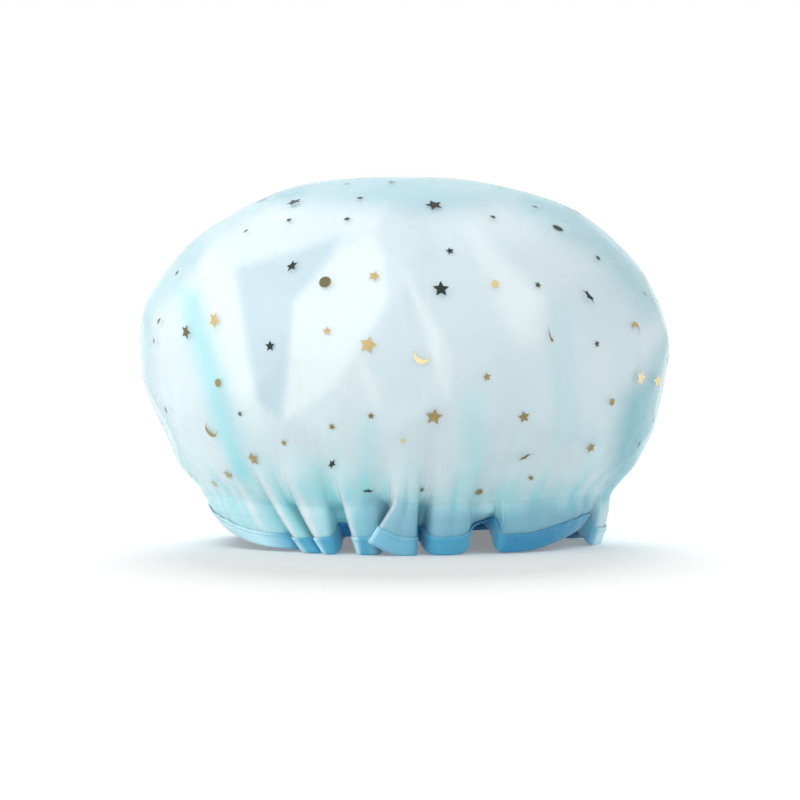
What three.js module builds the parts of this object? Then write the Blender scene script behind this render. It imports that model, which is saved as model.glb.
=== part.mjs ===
// Double-layer shower cap, filled as if worn, standing on its frill.
// A round sheet of printed film and a plain lining are gathered on an elastic band. The band runs in a
// channel behind the gathers, made by the inner leg of a satin tape folded round the raw edge of both.
// Millimetres, +Z up, front towards -Y. The origin is on the floor, under the middle of the cap.
import * as THREE from "three";

// Form of the filled cap
const BELLY_WIDTH = 222;
const BELLY_DEPTH = 212;
const BELLY_HEIGHT = 78;
const CAP_HEIGHT = 152;
const CROWN_SQUARENESS = 2.25; // exponent of the superellipse from belly to crown
const FLANK_BELLY_REACH = 36; // how far the flank keeps the belly's direction
const FLANK_GATHER_REACH = 22; // how far the flank swells out above the gathers
const FLANK_GATHER_RISE = 7;

// Sheets, tape, elastic and thread
const FILM_THICKNESS = 0.2;
const LINING_THICKNESS = 0.15;
const TAPE_THICKNESS = 0.25;
const TAPE_OUTER_LEG = 7.5;
const ELASTIC_DIAMETER = 144; // outside of the loop, as gathered
const ELASTIC_WIDTH = 6;
const ELASTIC_THICKNESS = 1;
const ELASTIC_OVERLAP = 16; // length of the sewn lap where its two ends meet
const THREAD_DIAMETER = 0.4;
const LAYER_GAP = 0.3; // clearance between neighbouring layers

// Gathers and frill
const GATHER_DEPTH = 9.5; // valley to ridge of a full pleat, at the upper seam
const FRILL_DEPTH = 7.5; // valley to ridge of a full pleat, at the hem
const BELLY_FOLD_DEPTH = 2.5; // valley to ridge, where the folds die out upwards
const FOLD_END = 0.5; // station on the crown where the folds have died out
const FOLD_GROWTH = 4; // exponent: the folds of the flank deepen late, close above the gathers
const INNER_RUFFLE_DEPTH = 2; // valley to ridge of the tape's inner leg
const FRILL_HEIGHT = 14; // floor to the lower gathering seam
const FRILL_FLARE = 0.5;
const HEM_LIFT = 6; // height of the hem above the floor where it is lifted
const CHANNEL_EASE = 1; // room above and below the elastic
const INNER_LEG_ALLOWANCE = 2.5; // how far the inner leg stands above the upper seam
const SEAM_INSET = 1.5; // seam to the edge of the tape's outer leg
const SEAM_DROP = 0.8; // how far the upper seam's needle thread lies under the crease that it sews

// Pleats that show from the front, from left to right. Each runs from its own angle to that of the next, in
// degrees from the front, at the hem and at the elastic. Full and valley are shares of the depths above, on
// its ridge and where it starts. The lifts are shares of HEM_LIFT at the same two places, and steps is the
// number of its columns.
const FRONT_PLEATS = [
  { hem: -102, top: -102, full: 1, valley: 0.5, valleyLift: 1.4, ridgeLift: 1.5, steps: 4 },
  { hem: -86, top: -88, full: 1.1, valley: 0.9, valleyLift: 1.5, ridgeLift: 0.5, steps: 10 },
  { hem: -35, top: -43.4, full: 1, valley: 0, valleyLift: 0.3, ridgeLift: 0.1, steps: 4 },
  { hem: -27, top: -33.6, full: 1.05, valley: 0, valleyLift: 0.2, ridgeLift: 0, steps: 4 },
  { hem: -19, top: -22, full: 0.1, valley: 0, valleyLift: 0.8, ridgeLift: 1, steps: 2 },
  { hem: -15.5, top: -18.4, full: 1.05, valley: 0, valleyLift: 0.8, ridgeLift: 0, steps: 4 },
  { hem: -8, top: -5, full: 1.2, valley: 0, valleyLift: 0.3, ridgeLift: 0, steps: 4 },
  { hem: 3, top: 4.6, full: 0.1, valley: 0, valleyLift: 0, ridgeLift: 0, steps: 2 },
  { hem: 5.2, top: 6.8, full: 1.05, valley: 0, valleyLift: 0, ridgeLift: 0, steps: 4 },
  { hem: 19.5, top: 19, full: 0.6, valley: 0.5, valleyLift: 1, ridgeLift: 1.5, steps: 4 },
  { hem: 27.2, top: 27.8, full: 1.1, valley: 0.6, valleyLift: 1.2, ridgeLift: 0.4, steps: 10 },
  { hem: 70.5, top: 69.5, full: 1.15, valley: 0.8, valleyLift: 1.3, ridgeLift: 0.1, steps: 4 },
];
const BACK_START = 96; // angle from the front where the even pleats of the back begin
const BACK_PLEATS = 8;
const BACK_FULLNESS = [1.1, 1.25, 1, 1.2]; // taken in turn
const BACK_STEPS = 3;
const BACK_RISE = { from: 200, to: 250, lift: 1.4 }; // where the hem of the back rises towards the left side

// Fineness of the facets
const CROWN_STEPS = [0.2, 0.4, 0.6, 0.8];
const FLANK_STEPS = [0.24, 0.5, 0.77];
const CROWN_SPACING = 4; // columns from corner to corner of the first ring round the crown
const DOME_SPACING = 2; // and of the other rings above the gathers
const ELASTIC_STEPS = 72;

// Join of the elastic: where its lap starts, in degrees from the front, and the zigzag that tacks it
const LAP_START = 180;
const BARTACK_STITCHES = 6;
const BARTACK_MARGIN = 2.4; // clear length at each end of the lap
const BARTACK_HEIGHT = 4;

// Stations down the sheets: 0 crown, 1 belly, 2 upper seam, 3 lower seam, 4 raw edge
const BELLY = 1;
const UPPER_SEAM = 2;
const LOWER_SEAM = 3;
const RAW_EDGE = 4;

const SLOPE_STEP = 0.01; // small step for measuring slopes, in stations
const MITRE_LIMIT = 0.4; // least cosine allowed where a layer turns a sharp crease
const FRONT = -90; // the front lies at this angle from +X, in degrees
const HEM_FLOOR = TAPE_THICKNESS + LAYER_GAP; // raw edges stand this far above the bottom of the tape
const CHANNEL_HEIGHT = ELASTIC_WIDTH + 2 * CHANNEL_EASE;
const CHANNEL_TOP = FRILL_HEIGHT + CHANNEL_HEIGHT;
const SHEETS = FILM_THICKNESS + LAYER_GAP + LINING_THICKNESS;
// Film at the bottom of each gather, where the sheets turn a sharp crease
const CHANNEL_RADIUS = ELASTIC_DIAMETER / 2 + LAYER_GAP + SHEETS / MITRE_LIMIT;
const UPPER_STITCHES = UPPER_SEAM + SEAM_DROP / CHANNEL_HEIGHT;
const TAPE_TOP = RAW_EDGE - TAPE_OUTER_LEG / (FRILL_HEIGHT - HEM_FLOOR);

// Offsets of each layer's two faces from the film's outer face, outwards positive
const FILM = { outer: 0, inner: -FILM_THICKNESS };
const LINING = { outer: -FILM_THICKNESS - LAYER_GAP, inner: -SHEETS };
const OUTER_LEG = { outer: LAYER_GAP + TAPE_THICKNESS, inner: LAYER_GAP };
const INNER_LEG = { outer: -SHEETS - LAYER_GAP, inner: -SHEETS - LAYER_GAP - TAPE_THICKNESS };

const { lerp, smoothstep, degToRad } = THREE.MathUtils;

// All pleats in order, those of the back spread evenly from the last of the front round to the first
function allPleats() {
  const [first] = FRONT_PLEATS;
  const spread = (first.hem + 360 - BACK_START) / BACK_PLEATS;
  const back = Array.from({ length: BACK_PLEATS }, (_, i) => {
    const angle = BACK_START + i * spread;
    const lift = BACK_RISE.lift * smoothstep(angle, BACK_RISE.from, BACK_RISE.to);
    return {
      hem: angle,
      top: angle,
      full: BACK_FULLNESS[i % BACK_FULLNESS.length],
      valley: 0,
      valleyLift: lift,
      ridgeLift: lift,
      steps: BACK_STEPS,
    };
  });
  return [...FRONT_PLEATS, ...back];
}

// One column for each step round the cap: its angles at elastic and hem, how far it is a ridge, and its lift
const columns = allPleats().flatMap((pleat, i, pleats) => {
  const last = i + 1 === pleats.length;
  const next = last ? { ...pleats[0], hem: pleats[0].hem + 360, top: pleats[0].top + 360 } : pleats[i + 1];
  return Array.from({ length: pleat.steps }, (_, k) => {
    const share = k / pleat.steps;
    const swell = Math.sin(Math.PI * share);
    const nearest = share < 0.5 ? pleat : next;
    return {
      hem: degToRad(FRONT + lerp(pleat.hem, next.hem, share)),
      top: degToRad(FRONT + lerp(pleat.top, next.top, share)),
      ridge: lerp(nearest.valley, pleat.full, swell),
      lift: HEM_LIFT * lerp(nearest.valleyLift, pleat.ridgeLift, swell),
    };
  });
});
const around = (i) => columns[(i + columns.length) % columns.length];
const polar = (radius, angle, height) =>
  new THREE.Vector3(radius * Math.cos(angle), radius * Math.sin(angle), height);

// How far down a height is from the upper seam to the hem, and the depth of the folds there
const hangingShare = (height) => Math.max((CHANNEL_TOP - height) / (CHANNEL_TOP - HEM_FLOOR), 0);
const hangingFold = (height) => lerp(GATHER_DEPTH, FRILL_DEPTH, hangingShare(height));

// The sheets' profile at a station: height, half-width and half-depth in the valleys, and depth of the folds
const flankCurve = (bellyRadius) =>
  new THREE.CubicBezierCurve(
    new THREE.Vector2(bellyRadius, BELLY_HEIGHT),
    new THREE.Vector2(bellyRadius, BELLY_HEIGHT - FLANK_BELLY_REACH),
    new THREE.Vector2(CHANNEL_RADIUS + FLANK_GATHER_REACH, CHANNEL_TOP + FLANK_GATHER_RISE),
    new THREE.Vector2(CHANNEL_RADIUS, CHANNEL_TOP),
  );
const HALF_WIDTH = BELLY_WIDTH / 2 - BELLY_FOLD_DEPTH;
const HALF_DEPTH = BELLY_DEPTH / 2 - BELLY_FOLD_DEPTH;
const flankAcross = flankCurve(HALF_WIDTH);
const flankAlong = flankCurve(HALF_DEPTH);

function profileAt(station) {
  if (station <= BELLY) {
    const turn = (station * Math.PI) / 2;
    const spread = Math.sin(turn) ** (2 / CROWN_SQUARENESS);
    const rise = Math.max(Math.cos(turn), 0) ** (2 / CROWN_SQUARENESS);
    return {
      height: lerp(BELLY_HEIGHT, CAP_HEIGHT, rise),
      across: HALF_WIDTH * spread,
      along: HALF_DEPTH * spread,
      fold: BELLY_FOLD_DEPTH * smoothstep(station, FOLD_END, BELLY),
    };
  }
  if (station <= UPPER_SEAM) {
    const drop = station - BELLY;
    const across = flankAcross.getPoint(drop);
    const fold = lerp(BELLY_FOLD_DEPTH, GATHER_DEPTH, drop ** FOLD_GROWTH);
    return { height: across.y, across: across.x, along: flankAlong.getPoint(drop).x, fold };
  }
  if (station <= LOWER_SEAM) {
    const height = lerp(CHANNEL_TOP, FRILL_HEIGHT, station - UPPER_SEAM);
    return { height, across: CHANNEL_RADIUS, along: CHANNEL_RADIUS, fold: hangingFold(height) };
  }
  const drop = station - LOWER_SEAM;
  const height = lerp(FRILL_HEIGHT, HEM_FLOOR, drop);
  const radius = CHANNEL_RADIUS + FRILL_FLARE * drop;
  return { height, across: radius, along: radius, fold: hangingFold(height) };
}

// A point on the film's outer face, in column i
function filmPoint(i, station) {
  const { hem, top, ridge, lift } = around(i);
  const { height, across, along, fold } = profileAt(station);
  const drop = Math.max(station - LOWER_SEAM, 0);
  const angle = lerp(top, hem, hangingShare(height));
  return new THREE.Vector3(
    (across + fold * ridge) * Math.cos(angle),
    (along + fold * ridge) * Math.sin(angle),
    height + lift * drop,
  );
}

// The way out of the film at a point, with a length that keeps a layer parallel on both sides of a crease
function filmOutwards(i, station) {
  const low = Math.max(station - SLOPE_STEP, 0);
  const high = Math.min(station + SLOPE_STEP, RAW_EDGE);
  const down = filmPoint(i, high).sub(filmPoint(i, low));
  const here = filmPoint(i, station);
  const before = down.clone().cross(here.clone().sub(filmPoint(i - 1, station))).normalize();
  const after = down.clone().cross(filmPoint(i + 1, station).sub(here)).normalize();
  const outwards = before.clone().add(after).normalize();
  return outwards.divideScalar(Math.max(outwards.dot(before), MITRE_LIMIT));
}

function layerPoint(i, station, offset) {
  return filmPoint(i, station).addScaledVector(filmOutwards(i, station), offset);
}

// A point of the hem, at a height above the bottom of the tape
function hemPoint(i, offset, rise) {
  const point = layerPoint(i, RAW_EDGE, offset);
  point.z = around(i).lift + rise;
  return point;
}

// Mesh building: points and triangles are collected, then made into one closed geometry.
class Skin {
  points = [];
  triangles = [];

  add(point) {
    this.points.push(point);
    return this.points.length - 1;
  }

  triangle(a, b, c) {
    this.triangles.push(a, b, c);
  }

  quad(a, b, c, d) {
    this.triangle(a, b, c);
    this.triangle(a, c, d);
  }

  // A band between two closed rings, the second with as many points as the first or twice as many.
  // Each four-sided facet is halved from its upper left corner, so that neighbouring layers stay parallel.
  band(first, second) {
    const rising = this.points[second[0]].z > this.points[first[0]].z;
    first.forEach((corner, i) => {
      const next = first[(i + 1) % first.length];
      if (second.length === first.length) {
        const [below, beyond] = [second[i], second[(i + 1) % second.length]];
        if (rising) this.quad(below, beyond, next, corner);
        else this.quad(corner, below, beyond, next);
        return;
      }
      const [left, middle, right] = [2 * i, 2 * i + 1, (2 * i + 2) % second.length].map((k) => second[k]);
      this.triangle(corner, left, middle);
      this.triangle(corner, middle, next);
      this.triangle(next, middle, right);
    });
  }

  // Turns round every triangle added since a mark, for the far face of a sheet
  flipSince(mark) {
    for (let i = mark; i < this.triangles.length; i += 3) {
      [this.triangles[i + 1], this.triangles[i + 2]] = [this.triangles[i + 2], this.triangles[i + 1]];
    }
  }

  geometry() {
    const made = new THREE.BufferGeometry().setFromPoints(this.points);
    made.setIndex(this.triangles);
    made.computeVertexNormals();
    return made;
  }
}

// Rings of a gathered sheet from crown to raw edge, with every column at the hem and fewer towards the crown
function sheetRings() {
  const crown = CROWN_STEPS.map((station, i) => ({ station, spacing: i ? DOME_SPACING : CROWN_SPACING }));
  const flank = FLANK_STEPS.map((step) => ({ station: BELLY + step, spacing: DOME_SPACING }));
  const hem = [UPPER_SEAM, LOWER_SEAM, TAPE_TOP, RAW_EDGE].map((station) => ({ station, spacing: 1 }));
  return [...crown, { station: BELLY, spacing: DOME_SPACING }, ...flank, ...hem];
}

function sheetPoint(i, station, offset) {
  return station === RAW_EDGE ? hemPoint(i, offset, HEM_FLOOR) : layerPoint(i, station, offset);
}

function sheetGeometry({ outer, inner }) {
  const skin = new Skin();
  const edges = [outer, inner].map((offset) => {
    const mark = skin.triangles.length;
    const pole = skin.add(new THREE.Vector3(0, 0, CAP_HEIGHT + offset));
    const rings = sheetRings().map(({ station, spacing }) =>
      columns.flatMap((_, i) => (i % spacing ? [] : skin.add(sheetPoint(i, station, offset)))),
    );
    rings[0].forEach((corner, i) => skin.triangle(pole, corner, rings[0][(i + 1) % rings[0].length]));
    rings.slice(1).forEach((ring, i) => skin.band(rings[i], ring));
    if (offset === inner) skin.flipSince(mark);
    return rings.at(-1);
  });
  skin.band(edges[0], edges[1]);
  return skin.geometry();
}

// A closed ring swept round the cap: sectionAt gives the section's corners in order, for each column
function loopGeometry(sectionAt) {
  const skin = new Skin();
  const sections = columns.map((_, i) => sectionAt(i).map((p) => skin.add(p)));
  const corners = sections[0].map((_, k) => sections.map((section) => section[k]));
  corners.forEach((ring, k) => skin.band(ring, corners[(k + 1) % corners.length]));
  return skin.geometry();
}

// An open strip through a list of sections, with flat ends
function stripGeometry(sections) {
  const skin = new Skin();
  const rows = sections.map((section) => section.map((p) => skin.add(p)));
  rows.slice(1).forEach((row, i) => {
    row.forEach((corner, k) => {
      const next = (k + 1) % row.length;
      skin.quad(rows[i][k], rows[i][next], row[next], corner);
    });
  });
  const [first, last] = [rows[0], rows.at(-1)];
  skin.quad(first[3], first[2], first[1], first[0]);
  skin.quad(last[0], last[1], last[2], last[3]);
  return skin.geometry();
}

// Four corners round a thread's centre, from its direction and the face that it lies on
function threadSection(centre, along, outwards) {
  const side = new THREE.Vector3().crossVectors(along, outwards).normalize();
  return [
    [outwards, 1],
    [side, 1],
    [outwards, -1],
    [side, -1],
  ].map(([way, sign]) => centre.clone().addScaledVector(way, (sign * THREAD_DIAMETER) / 2));
}

// The satin tape: outer leg outside the frill, fold under the raw edges, inner leg up behind the elastic
const ELASTIC_LAP_STEP = ELASTIC_THICKNESS + LAYER_GAP;
const BARTACK_ROOM = THREAD_DIAMETER + LAYER_GAP;
const ELASTIC_INNER_RADIUS = ELASTIC_DIAMETER / 2 - ELASTIC_THICKNESS - ELASTIC_LAP_STEP;
const LEG_RADIUS = ELASTIC_INNER_RADIUS - BARTACK_ROOM - LAYER_GAP;
const LEG_TOP = CHANNEL_TOP + INNER_LEG_ALLOWANCE;

function legPoint(i, height, depth) {
  const { hem, top, ridge } = around(i);
  const down = (LEG_TOP - height) / (LEG_TOP - FRILL_HEIGHT);
  const angle = lerp(top, hem, hangingShare(FRILL_HEIGHT) * down);
  return polar(LEG_RADIUS - INNER_RUFFLE_DEPTH * ridge - depth, angle, height);
}

function tapeSection(i) {
  return [
    layerPoint(i, TAPE_TOP, OUTER_LEG.outer),
    hemPoint(i, OUTER_LEG.outer, 0),
    hemPoint(i, INNER_LEG.inner, 0),
    layerPoint(i, TAPE_TOP, INNER_LEG.inner),
    legPoint(i, FRILL_HEIGHT - TAPE_THICKNESS, TAPE_THICKNESS),
    legPoint(i, LEG_TOP, TAPE_THICKNESS),
    legPoint(i, LEG_TOP, 0),
    legPoint(i, FRILL_HEIGHT, 0),
    layerPoint(i, TAPE_TOP, INNER_LEG.outer),
    hemPoint(i, INNER_LEG.outer, TAPE_THICKNESS),
    hemPoint(i, OUTER_LEG.inner, TAPE_THICKNESS),
    layerPoint(i, TAPE_TOP, OUTER_LEG.inner),
  ];
}

// A flat elastic strip, once round and lapped over itself by the length of its sewn join, at the back
const LAP_TURN = (2 * ELASTIC_OVERLAP) / ELASTIC_DIAMETER;
const LAP_FROM = degToRad(FRONT + LAP_START);

function elasticSection(step, _, { length }) {
  const turn = (step * (2 * Math.PI + LAP_TURN)) / (length - 1);
  const lapped = smoothstep(turn, 2 * Math.PI - LAP_TURN, 2 * Math.PI);
  const outer = ELASTIC_DIAMETER / 2 - ELASTIC_LAP_STEP * lapped;
  const bottom = FRILL_HEIGHT + CHANNEL_EASE;
  return [
    [outer, bottom],
    [outer - ELASTIC_THICKNESS, bottom],
    [outer - ELASTIC_THICKNESS, bottom + ELASTIC_WIDTH],
    [outer, bottom + ELASTIC_WIDTH],
  ].map(([radius, height]) => polar(radius, LAP_FROM + turn, height));
}

function elasticGeometry() {
  return stripGeometry(Array.from({ length: ELASTIC_STEPS + 1 }, (_, i) => i).map(elasticSection));
}

// Zigzag tack that sews the elastic's lapped ends together, on the inner face of the lap
function bartackGeometry() {
  const middle = FRILL_HEIGHT + CHANNEL_EASE + ELASTIC_WIDTH / 2;
  const facetDip = Math.cos(Math.PI / ELASTIC_STEPS);
  const radius = ELASTIC_INNER_RADIUS * facetDip - LAYER_GAP - THREAD_DIAMETER / 2;
  const margin = BARTACK_MARGIN / radius;
  const turns = Array.from({ length: 2 * BARTACK_STITCHES + 1 }, (_, i) => {
    const angle = LAP_FROM + lerp(margin, LAP_TURN - margin, i / (2 * BARTACK_STITCHES));
    const height = middle + (i % 2 ? BARTACK_HEIGHT / 2 : -BARTACK_HEIGHT / 2);
    return { centre: polar(radius, angle, height), outwards: polar(1, angle, 0) };
  });
  const sections = turns.map(({ centre, outwards }, i) => {
    const before = turns[Math.max(i - 1, 0)].centre;
    const after = turns[Math.min(i + 1, turns.length - 1)].centre;
    return threadSection(centre, after.clone().sub(before).normalize(), outwards);
  });
  return stripGeometry(sections);
}

// Rows of stitching: a needle thread on the outside and a bobbin thread on the inside of each seam
const THREAD_LIFT = LAYER_GAP + THREAD_DIAMETER / 2;

function threadGeometry(centreAt, outwardsAt) {
  return loopGeometry((i) => {
    const along = centreAt(i + 1).sub(centreAt(i - 1)).normalize();
    return threadSection(centreAt(i), along, outwardsAt(i).normalize());
  });
}

function gatherNeedleThread(seam) {
  return threadGeometry(
    (i) => layerPoint(i, seam, FILM.outer + THREAD_LIFT),
    (i) => filmOutwards(i, seam),
  );
}

function gatherBobbinThread(height) {
  return threadGeometry(
    (i) => legPoint(i, height, TAPE_THICKNESS + THREAD_LIFT),
    (i) => polar(1, around(i).top, 0),
  );
}

// The seam that closes the tape round the edge, a little below the top of its outer leg
function tapeEdgeThread(leg, side) {
  const share = SEAM_INSET / TAPE_OUTER_LEG;
  const seamPoint = (i) => {
    const face = layerPoint(i, TAPE_TOP, leg).lerp(hemPoint(i, leg, 0), share);
    return face.addScaledVector(filmOutwards(i, TAPE_TOP), side * THREAD_LIFT);
  };
  return threadGeometry(seamPoint, (i) => filmOutwards(i, TAPE_TOP));
}

// Materials, one for each stuff the cap is made of
const materials = {
  film: new THREE.MeshStandardMaterial({ color: 0xd6edf2, roughness: 0.25, metalness: 0 }),
  lining: new THREE.MeshStandardMaterial({ color: 0xe9f4f8, roughness: 0.45, metalness: 0 }),
  satin: new THREE.MeshStandardMaterial({ color: 0x62b9e2, roughness: 0.35, metalness: 0 }),
  elastic: new THREE.MeshStandardMaterial({ color: 0xf2f4f5, roughness: 0.9, metalness: 0 }),
  thread: new THREE.MeshStandardMaterial({ color: 0x8fd0ea, roughness: 0.6, metalness: 0 }),
};

const pieces = [
  ["outer_film", sheetGeometry(FILM), materials.film],
  ["inner_lining", sheetGeometry(LINING), materials.lining],
  ["hem_tape", loopGeometry(tapeSection), materials.satin],
  ["elastic_band", elasticGeometry(), materials.elastic],
  ["elastic_bartack", bartackGeometry(), materials.thread],
  ["upper_gather_needle_thread", gatherNeedleThread(UPPER_STITCHES), materials.thread],
  ["upper_gather_bobbin_thread", gatherBobbinThread(CHANNEL_TOP), materials.thread],
  ["lower_gather_needle_thread", gatherNeedleThread(LOWER_SEAM), materials.thread],
  ["lower_gather_bobbin_thread", gatherBobbinThread(FRILL_HEIGHT), materials.thread],
  ["tape_edge_needle_thread", tapeEdgeThread(OUTER_LEG.outer, 1), materials.thread],
  ["tape_edge_bobbin_thread", tapeEdgeThread(INNER_LEG.inner, -1), materials.thread],
];

const cap = new THREE.Group();
cap.name = "shower_cap";
for (const [name, geometry, material] of pieces) {
  const mesh = new THREE.Mesh(geometry, material.clone());
  mesh.name = name;
  cap.add(mesh);
}

// Uneven pleats pull the outline a little to one side, so the cap is centred on its own outline.
const outline = new THREE.Box3().setFromObject(cap).getCenter(new THREE.Vector3());
cap.children.forEach((mesh) => mesh.position.set(-outline.x, -outline.y, 0));

export default cap;
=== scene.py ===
import math

import bmesh
import bpy
import numpy as np
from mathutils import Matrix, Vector
from mathutils.bvhtree import BVHTree


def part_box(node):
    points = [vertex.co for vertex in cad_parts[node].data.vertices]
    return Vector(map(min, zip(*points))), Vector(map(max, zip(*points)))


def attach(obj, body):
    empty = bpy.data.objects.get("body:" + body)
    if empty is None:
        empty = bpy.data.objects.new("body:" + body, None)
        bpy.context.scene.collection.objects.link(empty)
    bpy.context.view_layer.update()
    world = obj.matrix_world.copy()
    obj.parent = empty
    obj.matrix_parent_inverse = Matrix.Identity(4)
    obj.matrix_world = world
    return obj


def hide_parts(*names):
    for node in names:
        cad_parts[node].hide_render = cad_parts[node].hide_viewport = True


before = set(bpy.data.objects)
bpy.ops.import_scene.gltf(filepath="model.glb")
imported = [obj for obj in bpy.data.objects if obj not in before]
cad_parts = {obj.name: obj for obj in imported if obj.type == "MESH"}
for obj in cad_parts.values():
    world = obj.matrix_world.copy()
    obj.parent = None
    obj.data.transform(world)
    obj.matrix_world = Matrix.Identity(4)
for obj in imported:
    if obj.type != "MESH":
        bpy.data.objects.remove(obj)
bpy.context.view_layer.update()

# All lengths below are in millimetres, and meshes are scaled to metres when they are made
MM = 0.001
rng = np.random.default_rng(7)

# The photograph: its size, its scale at the cap's middle, and the pixel of the floor under the middle
PHOTO_SIZE = 800
MM_PER_PIXEL = 0.419
FOOT_PIXEL = np.array([406.0, 541.0])
CAMERA_DISTANCE = 1600.0
CAMERA_ELEVATION = math.radians(2.0)
SENSOR_WIDTH = 36.0

# Outline of the crown, from the top to the widest place: radius and height
CROWN_OUTLINE = [
    (0.0, 152.0), (22.0, 151.6), (40.0, 149.8), (63.0, 143.0), (76.0, 136.0), (86.5, 128.6),
    (97.8, 115.5), (105.2, 102.0), (109.2, 89.0), (110.2, 78.0),
]
DEPTH_SHARE = 0.955
# Outline of the flank, from there down to where the elastic begins to draw it in
FLANK_OUTLINE = [(110.2, 78.0), (109.2, 66.0), (105.2, 53.0), (99.8, 41.5), (97.6, 37.5)]
# Ways of the film, out and up, at the end of that outline and on the elastic, on a ridge and in a valley
FLANK_END = np.array([-0.5, -0.866])
RIDGE_END = np.array([-0.55, -0.83])
VALLEY_END = np.array([-0.95, -0.3])
# How much fuller the cap is on the left and on the right, at which height and over how much height
SIDE_SWELLS = [(-1, 2.6, 92.0, 30.0), (1, 1.2, 34.0, 18.0)]

# The channel of the elastic
elastic_low, elastic_high = (corner.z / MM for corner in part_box("elastic_band"))
ELASTIC_RADIUS = 72.0
ELASTIC_THICKNESS = 1.0
SEAM_LOW = elastic_low - 1.0
SEAM_HIGH = elastic_high + 1.0
VALLEY_RADIUS = 73.0
RIDGE_RADIUS = 75.0  # points further out lie on a ridge
GATHER_HEIGHT = 20.2
GATHER_WAVE = 2.0  # how much higher the gather line runs on ridges than in valleys
GATHER_WAVER = 0.7  # and how far it strays
TUCKS = 46
TUCK_DEPTH = 1.3

# The gathers from left to right: angle from the front in degrees, radius and height at the hem,
# then angle and radius at the elastic
FRONT_HEM = [
    (-100, 75.5, 12, -100, 81), (-92, 76.5, 12.5, -92, 83.5), (-84, 77.5, 11, -85, 84),
    (-74, 78.8, 8.5, -78, 84), (-62, 80, 6, -68, 83.5), (-50, 80, 2.8, -58, 82.5),
    (-41, 78.5, 1.5, -50, 80), (-36, 75.5, 1.3, -45, 76.5), (-33.5, 70, 2, -43.4, 74),
    (-31.8, 76, 1, -42.8, 76), (-31.2, 80, 0.8, -42.2, 80), (-29.5, 81, 0.5, -40, 82),
    (-27.2, 80.5, 0.3, -37, 81.5), (-26, 79, 0.4, -36, 80.5), (-25.6, 73, 1.5, -34.8, 76),
    (-25, 69.8, 2, -33.6, 74), (-24.6, 77, 0.6, -33, 76), (-23.8, 81.5, 0.3, -31.8, 81),
    (-22, 82.5, 0, -27, 82.5), (-20.6, 81.5, 0.2, -23, 81.5), (-20.4, 76, 2, -22.3, 77),
    (-21.4, 69, 6, -21.8, 74.2), (-19, 67.2, 6.5, -20.2, 73.8), (-16.2, 69, 5.5, -18.6, 74.2),
    (-14.6, 76, 1, -18, 76.5), (-13.8, 80, 0.3, -17.4, 80.5), (-12.3, 81.5, 0, -13, 82.5),
    (-9.5, 81.5, 0, -10.5, 82), (-8, 80, 0.2, -8, 80.5), (-7.4, 74, 1.8, -6.4, 77),
    (-6.8, 71, 2.5, -5, 74.5), (-9, 78.5, 4.5, -4, 77), (-10.2, 84, 5.2, -2.6, 81.5),
    (-7.5, 85.5, 3.4, -1, 82.5), (-3, 85, 0.6, 0.5, 83), (0.6, 84, 0, 2, 82.8),
    (2.6, 81.5, 0.2, 3.8, 81.5), (2.3, 75, 2.5, 4.6, 77), (2.8, 69.5, 4.5, 5.2, 74.5),
    (4.4, 68.5, 5, 6.2, 74.3), (5.2, 75, 3, 7.2, 77), (6.6, 80, 0.8, 8.6, 81), (10, 82.5, 0, 12.5, 82.5),
    (15, 82, 0.6, 16, 82.3), (17.6, 80.5, 2.4, 18.3, 81.5), (19, 75, 5.5, 19.2, 79.5),
    (21, 70.5, 8.5, 21, 78.5), (24, 68.5, 11, 24, 79), (26.3, 69, 12, 26.4, 80), (27.2, 74, 9, 27.6, 81),
    (27, 78.5, 3, 28.4, 82), (27.6, 81, 0.8, 29.2, 82.5), (31, 82, 0.6, 32, 83), (38, 82, 1, 38.5, 83),
    (46, 81.5, 3, 46, 83.5), (54, 80.5, 5.2, 54, 83.5), (62, 79.5, 7.4, 61, 84), (67, 78, 8.4, 66, 84.2),
    (70, 75.5, 8.6, 68.5, 84), (71, 74.5, 7, 69.5, 83.8), (69, 78.5, 3, 70.5, 84),
    (68.5, 81, 0.8, 71.5, 84.2), (74, 81.8, 0.2, 76, 84.5), (82, 81.5, 0.3, 83, 84.5),
    (90, 80.5, 0.2, 90, 84), (97, 77, 0.5, 97, 82),
]
BACK_FROM = 105.0
BACK_TO = 255.0
BACK_PLEATS = 12
# One pleat of the back: share of its width, radius and height at the hem, share and radius at the elastic
BACK_PLEAT = [
    (0.0, 69.5, 0, 0.0, 74), (0.04, 77, 0, 0.02, 77), (0.16, 81.5, 0, 0.08, 81.5), (0.45, 83, 0, 0.45, 83),
    (0.74, 81, 0, 0.88, 81.5), (0.86, 76, 0, 0.94, 77),
]
BACK_WANDER = 1.2  # how far a pleat of the back strays, in degrees
BACK_SWELL = (-1.5, 1.2)  # how much narrower or fuller it is
BACK_RISE = 11.0  # height of the hem behind the left side
BACK_RISE_ANGLES = (200.0, 248.0)
# Where the frill curls in under itself: angle at the hem and bulge
CURL = [(17.5, 0.0), (20, 4.0), (24, 6.0), (26.5, 5.0), (27.5, 0.0)]
FRILL_PUFF = 1.1
# The folds of the flank: how far they have grown at its end, and their strength and blur at its start
FOLD_REACH = 0.6
FOLD_START = 0.18
FOLD_BLUR = 16

COLUMNS = 820
CROWN_ROWS = 56
FLANK_ROWS = 34
SKIRT_ROWS = 32
CHANNEL_ROWS = 8
FRILL_ROWS = 30
HEM_STEPS = 24  # points of a curve between two control points
OUTLINE_STEPS = 20


# Small numeric helpers
def smooth(value, low, high):
    share = np.clip((value - low) / (high - low), 0.0, 1.0)
    return share * share * (3.0 - 2.0 * share)


def unit(vectors):
    return vectors / np.linalg.norm(vectors, axis=-1, keepdims=True)


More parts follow.
